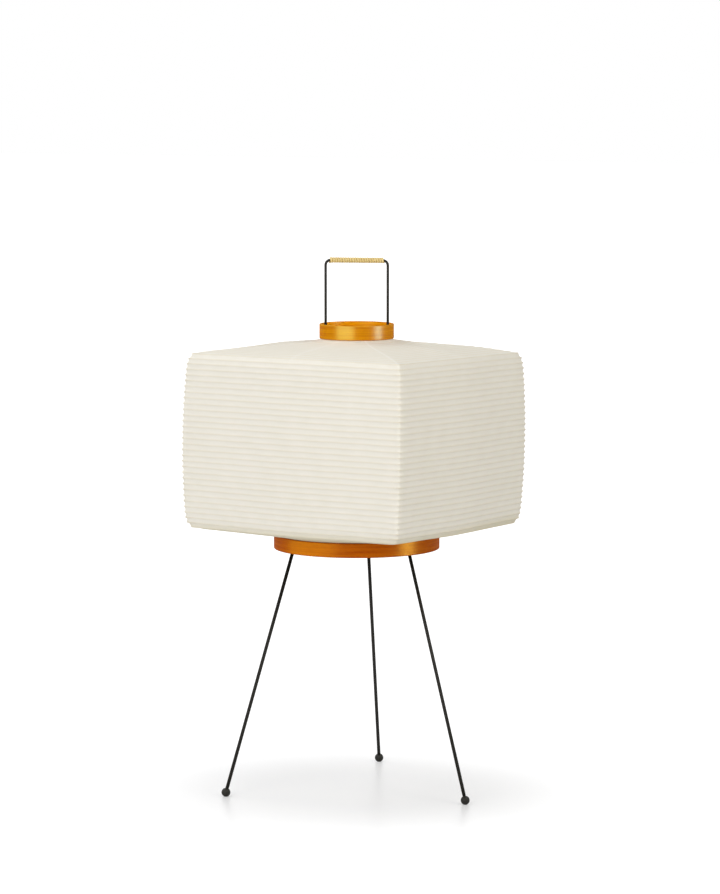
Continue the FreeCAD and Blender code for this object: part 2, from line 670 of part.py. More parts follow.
# Bulb holder
def make_holder():
    """The holder's cup and sleeve, with the insulating core and its contacts."""
    inside = "(dims.holder_radius - dims.holder_wall)"
    cup = [
        ("dims.tube_radius + dims.fit_gap", "0"),
        ("dims.holder_radius - dims.holder_bevel", "0"),
        ("dims.holder_radius", "dims.holder_bevel"),
        ("dims.holder_radius", "dims.holder_cup_height"),
        (inside, "dims.holder_cup_height"),
        (inside, "dims.holder_floor"),
        ("dims.tube_radius + dims.fit_gap", "dims.holder_floor"),
    ]
    keep(lathe("holder_cup", cup, BRIDGE_TOP), "holder_cup")
    sleeve = tube_outline("dims.holder_radius", inside, "dims.holder_sleeve_height")
    keep(lathe("holder_sleeve", sleeve, "%s + dims.holder_cup_height" % BRIDGE_TOP), "holder_sleeve")

    core_radius = "(%s - dims.fit_gap)" % inside
    core_height = "(dims.core_hollow + dims.core_plate)"
    core = [
        ("0", "dims.core_hollow"),
        ("%s - dims.core_rim" % core_radius, "dims.core_hollow"),
        ("%s - dims.core_rim" % core_radius, "0"),
        (core_radius, "0"),
        (core_radius, core_height),
        ("0", core_height),
    ]
    terminal_level = value("%s + dims.core_hollow" % CUP_FLOOR)
    sizes = ("dims.terminal_radius", "dims.terminal_head", "dims.terminal_head_height",
             "dims.terminal_depth")
    holes = []
    screws = []
    for side, sign in SIDES.items():
        stand = upright(terminal_level, value("dims.terminal_offset"), 0 if sign > 0 else 180)
        holes.append(rod(side + "_terminal_hole", "dims.terminal_radius + dims.fit_gap",
                         "dims.terminal_depth", stand))
        screws.append(headed_screw(side + "_terminal", sizes, stand))
    keep(cut("core_drilled", lathe("core", core, CUP_FLOOR), holes), "holder_core")
    keep(group("terminal_set", screws), "terminal_screws")

    thread_inside = "(dims.bulb_cap_radius + dims.slide_gap)"
    thread = tube_outline("%s + dims.thread_wall" % thread_inside, thread_inside, "dims.thread_height")
    keep(lathe("thread", thread, CORE_TOP), "screw_shell")
    contact = [
        ("0", "0"),
        ("dims.contact_radius", "0"),
        ("dims.contact_radius", "dims.contact_plate"),
        ("dims.contact_radius / 2", "dims.contact_rise"),
        ("0", "dims.contact_rise"),
    ]
    keep(lathe("contact", contact, CORE_TOP), "centre_contact")


# Bulb
def glass_body(name, inset):
    """The bulb's outside, or its inside at an inset: a ball that runs to a tapered neck."""
    radius = "(dims.bulb_radius - %s)" % inset
    neck = "(dims.bulb_cap_radius - %s)" % inset
    shoulder = "(%s * cos(dims.bulb_taper * 1deg))" % radius
    taper_height = "((%s - %s) / tan(dims.bulb_taper * 1deg))" % (shoulder, neck)
    taper = doc.addObject("Part::Cone", name + "_taper")
    bind(taper, {"Radius1": neck, "Radius2": shoulder, "Height": taper_height})
    taper.Placement.Base = Vector(0, 0, value(BULB_CAP_TOP))
    centre = "%s + %s + %s * sin(dims.bulb_taper * 1deg)" % (BULB_CAP_TOP, taper_height, radius)
    ball = doc.addObject("Part::Sphere", name + "_ball")
    bind(ball, {"Radius": radius})
    ball.Placement.Base = Vector(0, 0, value(centre))
    return fuse(name, taper, ball)


def make_bulb():
    """The screw-in bulb: glass, cap, insulating collar and tip contact."""
    keep(cut("glass", glass_body("glass_outside", "0"), [glass_body("glass_inside", "dims.bulb_wall")]),
         "bulb_glass")
    inside = "(dims.bulb_cap_radius - dims.bulb_cap_wall)"
    keep(lathe("bulb_cap", tube_outline("dims.bulb_cap_radius", inside, "dims.bulb_cap_height"),
               BULB_CAP_FOOT), "bulb_cap")
    collar = [
        ("0", "0"),
        ("dims.bulb_tip", "0"),
        ("dims.bulb_cap_radius", "dims.bulb_collar"),
        ("0", "dims.bulb_collar"),
    ]
    keep(lathe("bulb_collar", collar, "%s + dims.bulb_tip_height" % BULB_FOOT), "bulb_collar")
    keep(rod("bulb_tip_disc", "dims.bulb_tip", "dims.bulb_tip_height", upright(value(BULB_FOOT))),
         "bulb_tip")


make_tripod()
make_bottom_ring()
make_top_ring()
make_shade()
make_handle()
make_bridge()
make_holder()
make_bulb()
doc.recompute()

for thing in doc.Objects:
    if "Invalid" in thing.State or "Error" in thing.State:
        raise RuntimeError("%s did not build: %s" % (thing.Label, thing.State))
for piece in pieces:
    if piece.Shape.isNull() or not piece.Shape.isValid() or not piece.Shape.Solids:
        raise RuntimeError("%s has no valid solid" % piece.Label)

os.makedirs("parts", exist_ok=True)
for piece in pieces:
    piece.Shape.exportStep("parts/%s.step" % piece.Label)
    box = piece.Shape.BoundBox
    print("%-20s solids %2d  volume %10.1f  z %7.2f to %7.2f" % (
        piece.Label, len(piece.Shape.Solids), piece.Shape.Volume, box.ZMin, box.ZMax))
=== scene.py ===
import json
import math
from functools import cache

import bmesh
import bpy
from bpy.props import FloatProperty, FloatVectorProperty, IntProperty, PointerProperty
from mathutils import Matrix, Vector, noise


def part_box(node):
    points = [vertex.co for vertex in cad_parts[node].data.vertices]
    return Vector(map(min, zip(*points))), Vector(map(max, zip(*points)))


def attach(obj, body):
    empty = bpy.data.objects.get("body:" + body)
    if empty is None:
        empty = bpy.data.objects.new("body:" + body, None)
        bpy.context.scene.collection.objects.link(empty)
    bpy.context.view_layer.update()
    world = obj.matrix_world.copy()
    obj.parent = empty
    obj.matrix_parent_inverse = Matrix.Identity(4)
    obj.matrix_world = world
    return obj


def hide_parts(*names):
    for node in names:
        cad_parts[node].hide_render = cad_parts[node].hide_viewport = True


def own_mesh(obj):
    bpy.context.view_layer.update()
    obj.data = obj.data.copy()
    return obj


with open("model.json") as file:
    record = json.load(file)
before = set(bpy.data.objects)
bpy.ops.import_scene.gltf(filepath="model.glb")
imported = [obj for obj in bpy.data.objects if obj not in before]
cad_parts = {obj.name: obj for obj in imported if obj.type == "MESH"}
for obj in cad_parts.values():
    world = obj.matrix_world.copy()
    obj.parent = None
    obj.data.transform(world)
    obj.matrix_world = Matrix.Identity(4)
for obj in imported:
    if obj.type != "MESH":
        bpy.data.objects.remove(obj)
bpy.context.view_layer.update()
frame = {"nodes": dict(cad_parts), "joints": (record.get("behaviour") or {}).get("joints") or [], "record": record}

bl_info = {
    "name": "Paper Lamp",
    "version": (1, 0, 0),
    "blender": (4, 5, 0),
    "location": "View3D > Sidebar > Paper Lamp",
    "description": "Dresses a wire-legged paper lantern lamp and sets its studio",
    "category": "Object",
}

MILLIMETRE = 0.001
FULL_TURN = 2 * math.pi
QUARTER = math.pi / 2


# Colours and places
def tone(red, green, blue):
    """A colour as it looks on screen, from 0 to 255, in the linear values that shaders take."""
    parts = [part / 255 for part in (red, green, blue)]
    return tuple(((part + 0.055) / 1.055) ** 2.4 if part > 0.04045 else part / 12.92 for part in parts)


def opaque(colour):
    """A colour with its fourth value, for a colour socket."""
    return (*colour, 1.0)


def lerp(first, second, share):
    """A value part of the way from one to another."""
    return first + (second - first) * share


def size(name, description, default):
    """A length that a user may change, in metres."""
    return FloatProperty(name=name, description=description, default=default, unit="LENGTH", precision=5)


def share(name, description, default):
    """A number between 0 and 1 that a user may change."""
    return FloatProperty(name=name, description=description, default=default, subtype="FACTOR",
                         min=0.0, max=1.0)


def amount(name, description, default):
    """A plain number that a user may change."""
    return FloatProperty(name=name, description=description, default=default)


def count(name, description, default):
    """A whole number that a user may change."""
    return IntProperty(name=name, description=description, default=default, min=1)


def angle(name, description, default):
    """An angle that a user may change, in radians."""
    return FloatProperty(name=name, description=description, default=default, subtype="ANGLE")


def colour(name, description, default):
    """A colour that a user may change."""
    return FloatVectorProperty(name=name, description=description, default=default, subtype="COLOR",
                               min=0.0, max=1.0)


def slopes(name, description, default):
    """A pair of slopes that a user may change."""
    return FloatVectorProperty(name=name, description=description, default=default, size=2, precision=4)


def power(name, description, default):
    """The power of a lamp that a user may change, in watts."""
    return FloatProperty(name=name, description=description, default=default, unit="POWER")


def place(name, description, default):
    """A point that a user may change, in metres."""
    return FloatVectorProperty(name=name, description=description, default=default,
                               subtype="TRANSLATION", precision=4)


# Settings
class ShadeSettings(bpy.types.PropertyGroup):
    """Sizes and colours of the paper shade."""

    half_width: size("Half width", "Lamp axis to a face beside its corner, at half height", 0.1749)
    face_bow: size("Face bow", "How far a face bows out at its middle", 0.004)
    barrel: size("Barrel", "How far the walls are drawn in towards their edges", 0.0045)
    shoulder: size("Shoulder", "How far the rounded shoulders draw the walls in further", 0.0050)
    corner_sag: amount("Corner sag", "How much deeper the paper sinks between ribs at a corner", 0.85)
    tuck: size("Tuck", "How far the lower corners are drawn in below the last rib", 0.0015)
    corner: size("Corner", "Radius of the upright corners", 0.0045)
    wall_low: size("Lowest rib", "Height of the lowest rib of the walls", 0.3695)
    wall_high: size("Highest rib", "Height of the highest rib of the walls", 0.6090)
    slope_flare: share("Slope flare", "Share of a slope's fall that lies close to its ring", 0.7)
    crease: size("Crease", "How far the lap at the middle of a face stands out on the roof", 0.0016)
    rib_bow: size("Rib bow", "How far ribs near an edge bow up or down at the middle of a face", 0.0006)
    crowding: share("Crowding", "How much closer the ribs lie towards the edges of a wall", 0.022)
    lean: slopes("Lean", "Fall of the hand-made shade along X and along Y", (0.0057, 0.0175))
    lean_level: size("Lean height", "Height that the lean turns about", 0.59)
    wall_ribs: count("Wall ribs", "Ribs on the walls", 32)
    roof_ribs: count("Roof ribs", "Ribs on the roof", 13)
    floor_ribs: count("Underside ribs", "Ribs on the underside", 6)
    wall_sag: size("Wall sag", "How far the paper sinks in between two ribs of a wall", 0.0012)
    slope_sag: size("Slope sag", "How far the paper sinks in between two ribs of a slope", 0.0005)
    waver: size("Waver", "How far a hand-set rib wanders from its line", 0.0004)
    paper: size("Paper", "Thickness of the pasted paper", 0.0003)
    rib: size("Rib", "Width and depth of a split rib", 0.001)
    lap: size("Lap", "Half the lap of two paper sheets at the middle of a face", 0.0035)
    around: count("Points around", "Points of the paper around the shade", 112)
    paper_colour: colour("Paper", "Colour of the paper", tone(240, 236, 226))
    cloud_colour: colour("Paper clouds", "Colour where the paper is thicker", tone(238, 234, 223))
    rib_colour: colour("Ribs through paper", "Colour of a rib seen through the paper", tone(222, 204, 160))
    # Painted shade: a darker, warmer colour for the underside, standing in for the shade below the lantern's belly
    # and the lower ring's warm reflected light.
    underside_shade_colour: colour("Underside", "Colour of the paper where its underside has aged",
                             tone(216, 205, 168))


class RingSettings(bpy.types.PropertyGroup):
    """Sizes and colours of the two bent wood rings."""

    wall: size("Wall", "Thickness of the bent strip", 0.003)
    edge: size("Edge", "Radius of the rounded rims", 0.0009)
    steps: count("Steps", "Straight runs around a ring", 144)
    upper_light: colour("Upper ring", "Lightest colour of the upper ring", tone(220, 150, 4))
    upper_dark: colour("Upper ring grain", "Darkest grain of the upper ring", tone(194, 110, 1))
    # Painted highlight: the upper ring's rims are painted this paler colour for the light along its rounded top
    # rim.
    upper_rim_highlight: colour("Upper ring rims", "Colour of the upper ring where lacquer has worn at its rims",
                      tone(214, 150, 52))
    # Painted shade: the lower ring is the same lacquered wood as the upper ring, painted darker and redder for the
    # shade that the paper shade casts on it.
    lower_shaded_light: colour("Lower ring", "Lightest colour of the lower ring", tone(206, 106, 2))
    lower_shaded_dark: colour("Lower ring grain", "Darkest grain of the lower ring", tone(180, 80, 1))
    rim: colour("Rims and pores", "Colour of the lower ring's rims, and of the open pores of both rings",
                tone(136, 58, 8))


class GripSettings(bpy.types.PropertyGroup):
    """Sizes and colours of the wound grip."""

    turn: angle("Turn", "Turn of the handle about the lamp axis", math.radians(21.5))
    pitch: size("Pitch", "Grip length that one turn of the strip covers", 0.0034)
    core: size("Core", "Handle rod's axis to the inside of the winding", 0.0017)
    bulk: size("Bulk", "How far the strip's crown stands out over the plain sleeve", 0.0009)
    swell: share("Swell", "How much thicker the winding is at its knotted end", 0.14)
    straw: colour("Strip", "Colour of the strip", tone(246, 226, 158))
    shadow: colour("Strip streaks", "Colour of the streaks along the strip", tone(220, 188, 114))


class StageSettings(bpy.types.PropertyGroup):
    """Camera, lights and floor."""

    eye: place("Camera", "Place of the camera", (2.6298, -4.3423, 1.0022))
    target: place("Target", "Point at the middle of the picture", (0.0039, 0.0024, 0.4781))
    lens: amount("Lens", "Focal length in millimetres on a 36 mm frame", 148.33)
    ambient: amount("Ambient", "Strength of the even light from all around", 0.475)
    key: power("Key light", "Power of the broad light in front", 21.8)
    side: power("Side light", "Power of the light at the right", 13.0)
    side_hue: colour("Side light hue", "Colour of the light at the right", (1.0, 0.97, 0.88))
    top: power("Top light", "Power of the light overhead", 12.5)
    ring_glow: power("Ring glow", "Power of the light that reaches the upper ring's inside", 0.045)
    bulb_glow: power("Bulb glow", "Power of the light that reaches the bulb", 0.22)
    floor_reach: size("Floor reach", "Half the side of the floor", 30.0)
    floor_colour: colour("Floor", "Colour of the floor", (0.80, 0.80, 0.80))


# Shader building
class Value:
    """A node socket, with the operators that shader maths is written in."""

    def __init__(self, finish, socket):
        self.finish = finish
        self.socket = socket

    def math(self, operation, *terms):
        """A Math node on this value and others, in the order given."""
        return self.finish.add("ShaderNodeMath", {"operation": operation}, dict(enumerate((self, *terms))))

    def __add__(self, other):
        return self.math("ADD", other)

    def __mul__(self, other):
        return self.math("MULTIPLY", other)

    def __sub__(self, other):
        return self.math("SUBTRACT", other)

    def __rsub__(self, other):
        return self.finish.add("ShaderNodeMath", {"operation": "SUBTRACT"}, {0: other, 1: self})

    def __abs__(self):
        return self.math("ABSOLUTE")

    __radd__ = __add__
    __rmul__ = __mul__

    def step(self, low, high):
        """A soft step from 0 at one value to 1 at another."""
        settings = {"interpolation_type": "SMOOTHSTEP"}
        return self.finish.add("ShaderNodeMapRange", settings,
                               {"Value": self, "From Min": low, "From Max": high})


class Finish:
    """A node tree under construction."""

    def __init__(self, tree):
        self.tree = tree
        tree.nodes.clear()

    def add(self, kind, settings=None, sockets=None, output=0):
        """Adds a node: its settings first, then its socket values or links. Gives one of its outputs."""
        node = self.tree.nodes.new(kind)
        for name, setting in (settings or {}).items():
            setattr(node, name, setting)
        for key, given in (sockets or {}).items():
            if isinstance(given, Value):
                self.tree.links.new(given.socket, node.inputs[key])
            else:
                node.inputs[key].default_value = given
        return Value(self, node.outputs[output]) if node.outputs else None

    def where(self):
        """The piece's own coordinates, in metres."""
        return self.add("ShaderNodeTexCoord", output="Object")

    def along(self, spot, axis):
        """One coordinate of a point."""
        return self.add("ShaderNodeSeparateXYZ", {}, {"Vector": spot}, output=axis)

    def stretch(self, spot, scale, turn=0.0):
        """Coordinates scaled by axis, after a turn about the vertical."""
        turned = self.add("ShaderNodeMapping", {}, {"Vector": spot, "Rotation": (0.0, 0.0, turn)})
        return self.add("ShaderNodeMapping", {}, {"Vector": turned, "Scale": scale})

    def noise(self, spot, scale, detail=3.0, rough=0.55):
        """Soft noise between 0 and 1."""
        sockets = {"Vector": spot, "Scale": scale, "Detail": detail, "Roughness": rough}
        return self.add("ShaderNodeTexNoise", {}, sockets)

    def streaks(self, spot, scales, detail=3.0, rough=0.55):
        """Soft noise with its own scale along each axis."""
        return self.noise(self.stretch(spot, scales), 1.0, detail, rough)

    def cells(self, spot, scale):
        """Distances to the edges of a cell pattern."""
        return self.add("ShaderNodeTexVoronoi", {"feature": "DISTANCE_TO_EDGE"},
                        {"Vector": spot, "Scale": scale})

    def blend(self, factor, first, second):
        """A colour part of the way from one to another."""
        return self.add("ShaderNodeMix", {"data_type": "RGBA"}, {0: factor, 6: first, 7: second}, output=2)

    def attribute(self, name):
        """A value that the mesh holds at its points."""
        return self.add("ShaderNodeAttribute", {"attribute_name": name}, output="Fac")

    def bump(self, height, depth, strength=1.0):
        """A normal from a height between 0 and 1 that stands for a depth in metres."""
        return self.add("ShaderNodeBump", {}, {"Height": height, "Distance": depth, "Strength": strength})

    def surface(self, sockets):
        """The finished surface."""
        shader = self.add("ShaderNodeBsdfPrincipled", {}, sockets)
        self.add("ShaderNodeOutputMaterial", {}, {"Surface": shader})


def new_finish(name):
    """A new material and the builder of its nodes."""
    material = bpy.data.materials.new(name)
    material.use_nodes = True
    return material, Finish(material.node_tree)


# Finishes
FIBRE_BEND = (0.02, 0.02, 0.02)
LONG_FIBRE_WIDTH = 0.035
SHORT_FIBRE_WIDTH = 0.06
FIBRE_SHOW = 0.12
RIB_SHOW = 0.18
LAP_SHOW = 0.16
HIP_HIGHLIGHT_SHOW = 0.42
EDGE_BLUR = 0.004
UNDERSIDE_RISE = 0.016
UNDERSIDE_SHADE_SHOW = 0.6


def pasted_paper():
    """Handmade paper: faintly cloudy, with long fibres, lapped on the roof, and ribs that show through; with a
    painted highlight along the roof's hips and painted shade on the underside.
    """
    settings = bpy.context.scene.lamp_shade
    material, finish = new_finish("pasted_paper")
    spot = finish.where()
    clouds = finish.noise(spot, scale=38.0, detail=5.0, rough=0.62)
    grain = finish.noise(spot, scale=900.0, detail=3.0, rough=0.6)
    drift = finish.add("ShaderNodeTexNoise", {}, {"Vector": spot, "Scale": 70.0}, output=1)
    bent = finish.add("ShaderNodeVectorMath", {"operation": "MULTIPLY_ADD"},
                      {0: drift, 1: FIBRE_BEND, 2: spot})
    long_fibre = 1 - finish.cells(bent, scale=85.0).step(0.0, LONG_FIBRE_WIDTH)
    short_fibre = 1 - finish.cells(bent, scale=240.0).step(0.0, SHORT_FIBRE_WIDTH)
    patchy = finish.noise(spot, scale=55.0, detail=2.0).step(0.45, 0.7)
    fibres = long_fibre * patchy + short_fibre * 0.35
    body = finish.blend(clouds.step(0.32, 0.72), opaque(settings.cloud_colour), opaque(settings.paper_colour))
    fibred = finish.blend(fibres * FIBRE_SHOW, body, opaque(tone(248, 246, 240)))
    ribbed = finish.blend(finish.attribute("rib_line") * (RIB_SHOW + grain * RIB_SHOW), fibred,
                          opaque(settings.rib_colour))
    off_x = abs(finish.along(spot, "X"))
    off_y = abs(finish.along(spot, "Y"))
    level = finish.along(spot, "Z")
    on_roof = level.step(settings.wall_high - EDGE_BLUR, settings.wall_high + EDGE_BLUR)
    lap = (1 - off_x.math("MINIMUM", off_y).step(settings.lap * 0.85, settings.lap)) * on_roof
    # Painted highlight: a pale line along the roof's hips, where light catches the ridge. The lap at the middle of
    # each face is the overlap of two sheets.
    hip_highlight = (1 - abs(off_x - off_y).step(settings.lap * 0.2, settings.lap)) * on_roof
    lapped_and_highlit = finish.blend(lap * LAP_SHOW + hip_highlight * HIP_HIGHLIGHT_SHOW, ribbed, opaque(tone(250, 248, 243)))
    # Painted shade: below the lowest rib the paper is blended towards the darker, warmer underside colour.
    low = 1 - level.step(settings.wall_low - EDGE_BLUR, settings.wall_low + UNDERSIDE_RISE)
    relief = grain * 0.3 + fibres * 0.3 + lap * 0.5
    finish.surface({
        "Base Color": finish.blend(low * UNDERSIDE_SHADE_SHOW, lapped_and_highlit, opaque(settings.underside_shade_colour)),
        "Roughness": 0.80 + grain * 0.15,
        "Specular IOR Level": 0.25,
        "Normal": finish.bump(relief, depth=0.00022, strength=0.55),
    })
    return material


def split_bamboo():
    """Split bamboo: straw-coloured, with long fibres."""
    material, finish = new_finish("split_bamboo")
    spot = finish.where()
    fibre = finish.streaks(spot, (40.0, 40.0, 1800.0), detail=3.0, rough=0.6)
    patch = finish.noise(spot, scale=22.0, detail=2.0)
    straw = finish.blend(fibre, opaque(tone(196, 164, 112)), opaque(tone(224, 200, 152)))
    finish.surface({
        "Base Color": finish.blend(patch.step(0.5, 0.8) * 0.4, straw, opaque(tone(170, 136, 84))),
        "Roughness": 0.55 + fibre * 0.2,
        "Normal": finish.bump(fibre, depth=0.00015, strength=0.6),
    })
    return material


def lacquered_wood(name, node, light, dark, edge):
    """Bent wood with a fine level grain under a stained lacquer, with rims of another colour."""
    settings = bpy.context.scene.lamp_rings
    low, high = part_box(node)
    middle = (low.z + high.z) / 2
    half = (high.z - low.z) / 2
    material, finish = new_finish(name)
    spot = finish.where()
    fine = finish.streaks(spot, (18.0, 18.0, 1500.0), detail=4.0, rough=0.65)
    broad = finish.streaks(spot, (9.0, 9.0, 260.0), detail=3.0, rough=0.5)
    pores = finish.streaks(spot, (120.0, 120.0, 2600.0), detail=2.0, rough=0.5)
    grain = fine * 0.6 + broad * 0.4
    wood = finish.blend(grain.step(0.35, 0.66), opaque(dark), opaque(light))
    pored = finish.blend(pores.step(0.60, 0.72) * 0.35, wood, opaque(settings.rim))
    # The rims are blended towards the edge colour: on the upper ring a painted highlight, on the lower ring a
    # darker rim.
    rim = abs(finish.along(spot, "Z") - middle).step(half * 0.72, half * 1.02)
    rim_highlight_and_tint = finish.noise(spot, scale=60.0, detail=3.0) * rim
    finish.surface({
        "Base Color": finish.blend(rim_highlight_and_tint * 0.8, pored, opaque(edge)),
        "Roughness": 0.26 + fine * 0.12,
        "Specular IOR Level": 0.0,
        "Coat Weight": 0.09,
        "Coat Roughness": 0.30,
        "Normal": finish.bump(grain, depth=0.00008, strength=0.35),
    })
    return material


def upper_lacquer():
    """The upper ring's lacquered wood, with a painted highlight on its rims."""
    settings = bpy.context.scene.lamp_rings
    return lacquered_wood("upper_lacquer", "top_ring", settings.upper_light, settings.upper_dark,
                          settings.upper_rim_highlight)


def shaded_lower_lacquer():
    """The lower ring's lacquered wood, painted darker for the shade it sits in under the paper."""
    settings = bpy.context.scene.lamp_rings
    return lacquered_wood("shaded_lower_lacquer", "bottom_ring", settings.lower_shaded_light, settings.lower_shaded_dark,
                          settings.rim)


def black_wire():
    """Satin black paint on drawn wire, with a fine texture and a few rubbed specks."""
    material, finish = new_finish("black_wire")
    spot = finish.where()
    skin = finish.noise(spot, scale=1400.0, detail=3.0, rough=0.6)
    patch = finish.noise(spot, scale=60.0, detail=4.0, rough=0.6)
    rubbed = finish.noise(spot, scale=420.0, detail=2.0).step(0.70, 0.78) * patch.step(0.5, 0.7)
    paint = finish.blend(patch, opaque(tone(22, 20, 14)), opaque(tone(32, 29, 22)))
    finish.surface({
        "Base Color": finish.blend(rubbed * 0.25, paint, opaque(tone(60, 55, 47))),
        "Roughness": 0.46 + skin * 0.2,
        "Specular IOR Level": 0.28,
        "Normal": finish.bump(skin, depth=0.00002, strength=0.3),
    })
    return material


def black_rubber():
    """Dense black rubber balls, dusty where they meet the floor."""
    dust_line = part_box("foot_rear")[1].z * 0.45
    material, finish = new_finish("black_rubber")
    spot = finish.where()
    skin = finish.noise(spot, scale=1100.0, detail=3.0, rough=0.6)
    scuffs = finish.streaks(spot, (300.0, 300.0, 900.0), detail=3.0)
    worn = (1 - finish.along(spot, "Z").step(0.0, dust_line)) * scuffs.step(0.4, 0.7)
    black = finish.blend(skin, opaque(tone(20, 19, 13)), opaque(tone(29, 27, 20)))
    finish.surface({
        "Base Color": finish.blend(worn * 0.25, black, opaque(tone(60, 57, 50))),
        "Roughness": 0.38 + skin * 0.2,
        "Specular IOR Level": 0.30,
        "Normal": finish.bump(skin, depth=0.00005, strength=0.5),
    })
    return material


def wound_rattan():
    """Pale rattan strip with fine streaks along its length, and painted shade towards the grooves between its
    turns.
    """
    settings = bpy.context.scene.lamp_grip
    material, finish = new_finish("wound_rattan")
    spot = finish.stretch(finish.where(), (1.0, 1.0, 1.0), -settings.turn)
    streaks = finish.streaks(spot, (3600.0, 90.0, 90.0), detail=3.0, rough=0.6)
    patches = finish.streaks(spot, (180.0, 60.0, 60.0), detail=3.0, rough=0.6)
    strip = finish.blend(streaks.step(0.35, 0.7), opaque(settings.shadow), opaque(settings.straw))
    aged = finish.blend(patches.step(0.52, 0.75) * 0.5, strip, opaque(tone(216, 184, 108)))
    # Painted shade: the strip darkens with its depth below the crown, towards the grooves between turns.
    groove_shade = finish.attribute("groove_shade")
    finish.surface({
        "Base Color": finish.blend(groove_shade * 0.8, aged, opaque(tone(140, 106, 52))),
        "Roughness": 0.42 + streaks * 0.2,
        "Coat Weight": 0.25,
        "Normal": finish.bump(streaks, depth=0.0001, strength=0.5),
    })
    return material


def metal(name, colours, roughness):
    """Worn bare metal: turning marks and a little tarnish."""
    bright, tarnish = colours
    material, finish = new_finish(name)
    spot = finish.where()
    marks = finish.streaks(spot, (140.0, 140.0, 3000.0), detail=3.0, rough=0.6)
    patch = finish.noise(spot, scale=240.0, detail=4.0, rough=0.65)
    finish.surface({
        "Base Color": finish.blend(patch.step(0.45, 0.75), opaque(bright), opaque(tarnish)),
        "Metallic": 1.0,
        "Roughness": roughness + marks * 0.18,
        "Normal": finish.bump(marks, depth=0.00004, strength=0.5),
    })
    return material


def plated_steel():
    """Zinc-plated steel."""
    return metal("plated_steel", (tone(196, 197, 198), tone(150, 150, 146)), roughness=0.26)


def brass():
    """Plain brass."""
    return metal("brass", (tone(222, 184, 104), tone(158, 116, 58)), roughness=0.24)


def bulb_cap_metal():
    """Rolled aluminium."""
    return metal("bulb_cap_metal", (tone(214, 214, 212), tone(176, 175, 170)), roughness=0.30)


def moulded(name, colours, roughness, coat):
    """A moulded or fired piece: fine speckle and a soft surface ripple."""
    dark, light = colours
    material, finish = new_finish(name)
    spot = finish.where()
    speckle = finish.noise(spot, scale=1700.0, detail=2.0, rough=0.5)
    ripple = finish.noise(spot, scale=160.0, detail=2.0, rough=0.5)
    finish.surface({
        "Base Color": finish.blend(speckle * 0.6 + ripple * 0.4, opaque(dark), opaque(light)),
        "Roughness": roughness + ripple * 0.12,
        "Coat Weight": coat,
        "Normal": finish.bump(ripple, depth=0.00012, strength=0.4),
    })
    return material


def black_phenolic():
    """Pressed black resin."""
    return moulded("black_phenolic", (tone(22, 21, 20), tone(40, 37, 34)), roughness=0.30, coat=0.2)


def white_ceramic():
    """Glazed white porcelain."""
    return moulded("white_ceramic", (tone(222, 218, 206), tone(240, 238, 230)), roughness=0.22, coat=0.6)


def opal_glass():
    """Opal white glass."""
    return moulded("opal_glass", (tone(238, 236, 230), tone(248, 247, 243)), roughness=0.20, coat=0.5)


def black_insulator():
    """Black glass of the bulb's foot."""
    return moulded("black_insulator", (tone(14, 14, 14), tone(30, 29, 28)), roughness=0.12, coat=0.6)


NODE_FINISHES = {
    "black_wire": black_wire,
    "black_rubber": black_rubber,
    "plated_steel": plated_steel,
    "brass": brass,
    "bulb_cap_metal": bulb_cap_metal,
    "black_phenolic": black_phenolic,
    "white_ceramic": white_ceramic,
    "opal_glass": opal_glass,
    "black_insulator": black_insulator,
}


@cache
def finish_of(slot):
    """The finish of a slot, made once."""
    return NODE_FINISHES[slot]()


# Piece building
def finished(name, shape, material, slot, body, *nodes):
    """A smooth piece from a bmesh, on its body, in place of CAD nodes."""
    mesh = bpy.data.meshes.new(name)
    shape.to_mesh(mesh)
    shape.free()
    mesh.shade_smooth()
    mesh.materials.append(material)
    piece = bpy.data.objects.new(name, mesh)
    bpy.context.scene.collection.objects.link(piece)
    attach(piece, body)
    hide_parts(*nodes)
    return piece


def line(shape, points, closed=False):
    """Points joined by edges, in a bmesh."""
    corners = [shape.verts.new(point) for point in points]
    pairs = list(zip(corners, corners[1:]))
    if closed:
        pairs.append((corners[-1], corners[0]))
    edges = [shape.edges.new(pair) for pair in pairs]
    return corners + edges


def spin_round(shape, outline, steps):
    """A half outline spun once about the lamp axis, with its faces turned outwards."""
    bmesh.ops.spin(shape, geom=outline, cent=(0, 0, 0), axis=(0, 0, 1), angle=FULL_TURN, steps=steps,
                   use_merge=True)
    bmesh.ops.recalc_face_normals(shape, faces=shape.faces)


def polar_of(spot):
    """Distance from the lamp axis and angle about it."""
    return math.hypot(spot.x, spot.y), math.atan2(spot.y, spot.x)


# Paper shade
CREASE_WIDTH = math.radians(14)
CORNER_REACH = math.radians(9)
CORNER_CROWDING = 1.9
RIB_CROWDING_POWER = 9
SHOULDER_POWER = 20
WALL_FALL_POWER = 4
SWAY_AROUND = 2.2
SWAY_UP = 0.61
SWAY_SAG = 0.12


def corner_share(turn):
    """1 at a corner of the square, falling to 0 inside its faces."""
    off_corner = abs(math.remainder(turn - QUARTER / 2, QUARTER))
    return max(0.0, 1 - off_corner / CORNER_REACH) ** 2


